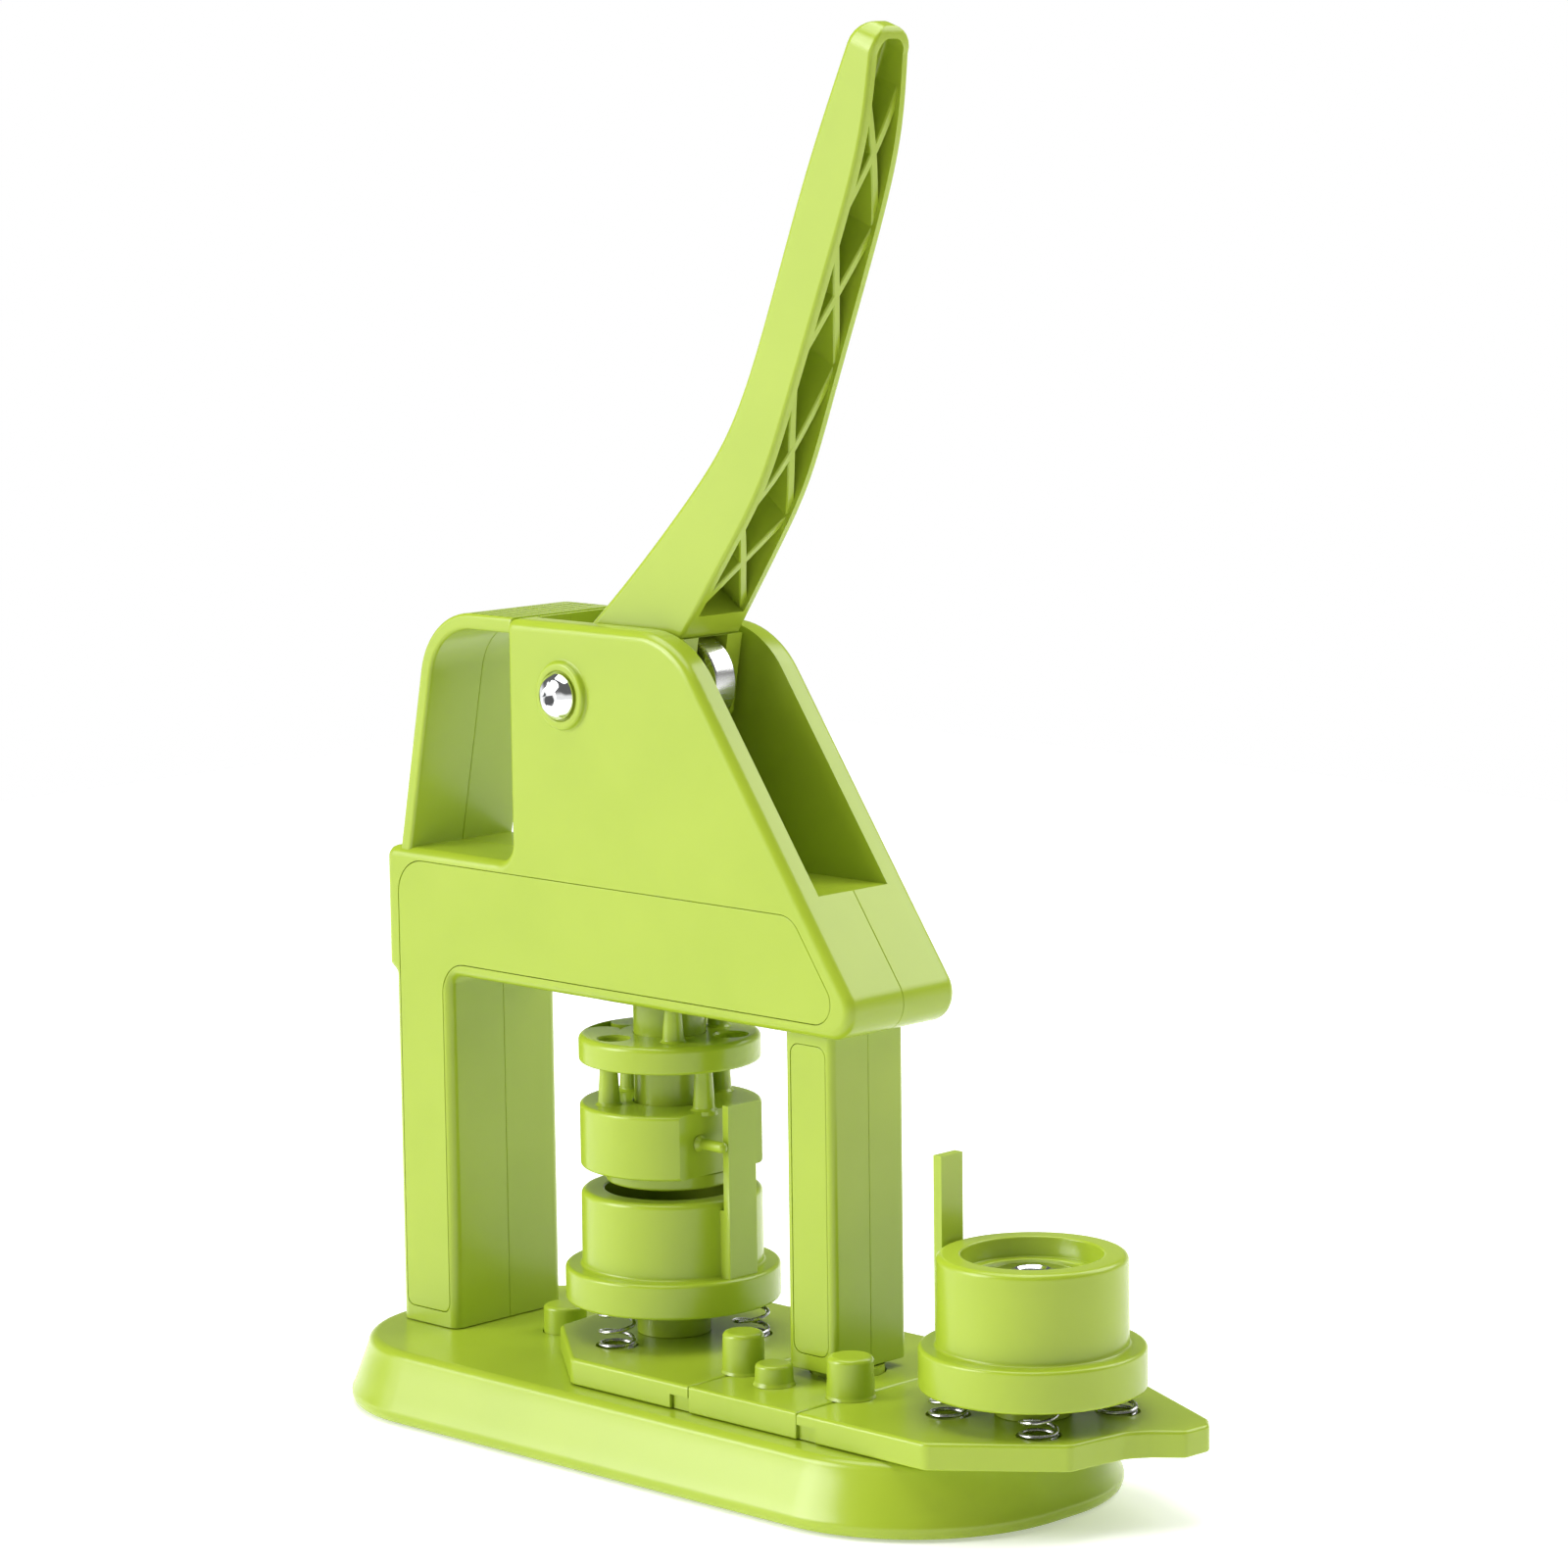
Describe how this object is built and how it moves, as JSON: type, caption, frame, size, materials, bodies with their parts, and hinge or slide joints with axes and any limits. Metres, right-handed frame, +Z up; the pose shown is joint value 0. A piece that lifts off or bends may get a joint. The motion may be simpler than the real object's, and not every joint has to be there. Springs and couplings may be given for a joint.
{
  "type": "button badge maker",
  "caption": "Bench-top button badge press: lever with roller, guided ram, sprung die rings on a swivelling plate, two columns and a carrying strap on a low base.",
  "frame": {"origin": "on the underside of the grip pad, straight below the ram", "axes": "+Z up along the ram, +X towards the front where the lever comes down, -Y the side with the plate's pegs"},
  "size_m": [0.2489, 0.096, 0.3452],
  "materials": {
    "green_plastic": "glossy moulded",
    "chrome": "polished",
    "steel": "zinc plated",
    "rubber": "matt"
  },
  "bodies": {
    "frame": {"base_cover": "green_plastic", "base_shell": "green_plastic", "column_panel_far": "green_plastic", "column_panel_near": "green_plastic", "cover_screw_1": "steel", "cover_screw_2": "steel", "cover_screw_3": "steel", "cover_screw_4": "steel", "foot_screw_far": "steel", "foot_screw_near": "steel", "frame_far_half": "green_plastic", "frame_near_half": "green_plastic", "frame_screw_1": "steel", "frame_screw_2": "steel", "frame_screw_3": "steel", "frame_screw_4": "steel", "front_column_far_half": "green_plastic", "front_column_near_half": "green_plastic", "grip_pad": "rubber", "pivot_bolt": "chrome", "pivot_nut": "chrome", "return_spring": "chrome", "side_panel_far": "green_plastic", "side_panel_near": "green_plastic", "spindle_nut": "steel", "spindle_rod": "steel", "spindle_sleeve": "steel", "stop_post": "green_plastic"},
    "lever": {"lever": "green_plastic", "roller_pin": "steel", "bearing_inner_race": "chrome"},
    "roller": {"bearing_outer_race": "chrome", "bearing_ball_cage": "steel"},
    "ram": {"ram_shaft": "green_plastic", "selector_disc": "green_plastic", "punch": "green_plastic"},
    "collar": {"collar": "green_plastic", "collar_pin": "green_plastic"},
    "die_plate": {"swivel_centre": "green_plastic", "die_plate_a": "green_plastic", "die_plate_b": "green_plastic", "peg_left": "green_plastic", "peg_right": "green_plastic", "index_knob": "green_plastic", "die_post_a": "green_plastic", "die_post_b": "green_plastic", "post_screw_a": "steel", "post_screw_b": "steel", "die_cap_a": "chrome", "die_a_spring_1": "chrome", "die_a_spring_2": "chrome", "die_a_spring_3": "chrome", "die_a_spring_4": "chrome", "die_b_spring_1": "chrome", "die_b_spring_2": "chrome", "die_b_spring_3": "chrome"},
    "ring_a": {"die_ring_a": "green_plastic"},
    "ring_b": {"die_ring_b": "green_plastic"}
  },
  "joints": [
    {"name": "lever_hinge", "type": "hinge", "parent": "frame", "child": "lever", "pos_m": [-0.0165, 0, 0.1842], "axis": [0, 1, 0], "range_deg": [0, 22], "stiffness_Nm_per_rad": 0.6, "springref_deg": -34.38},
    {"name": "roller_spin", "type": "hinge", "parent": "lever", "child": "roller", "pos_m": [0.0106, 0, 0.1882], "axis": [0, 1, 0], "continuous": true},
    {"name": "ram_slide", "type": "slide", "parent": "frame", "child": "ram", "axis": [0, 0, -1], "range_m": [0, 0.0105], "deforming": ["return_spring"]},
    {"name": "collar_turn", "type": "hinge", "parent": "ram", "child": "collar", "pos_m": [0, 0, 0.075], "axis": [0, 0, 1], "range_deg": [0, 40.1]},
    {"name": "plate_swivel", "type": "hinge", "parent": "frame", "child": "die_plate", "pos_m": [0.05946, 0, 0.02], "axis": [0, 0, -1], "range_deg": [0, 180]},
    {"name": "ring_a_slide", "type": "slide", "parent": "die_plate", "child": "ring_a", "axis": [0, 0, -1], "range_m": [0, 0.00635], "deforming": ["die_a_spring_1", "die_a_spring_2", "die_a_spring_3", "die_a_spring_4"]},
    {"name": "ring_b_slide", "type": "slide", "parent": "die_plate", "child": "ring_b", "axis": [0, 0, -1], "range_m": [0, 0.00515], "deforming": ["die_b_spring_1", "die_b_spring_2", "die_b_spring_3"]}
  ],
  "couplings": [
    {"joint": "ram_slide", "follows": "lever_hinge", "m_per_rad": 0.027215},
    {"joint": "ring_a_slide", "follows": "lever_hinge", "m_per_rad": 0.016407},
    {"joint": "ring_b_slide", "follows": "lever_hinge", "m_per_rad": 0.013282},
    {"joint": "collar_turn", "follows": "plate_swivel", "ratio": 0.22222}
  ]
}
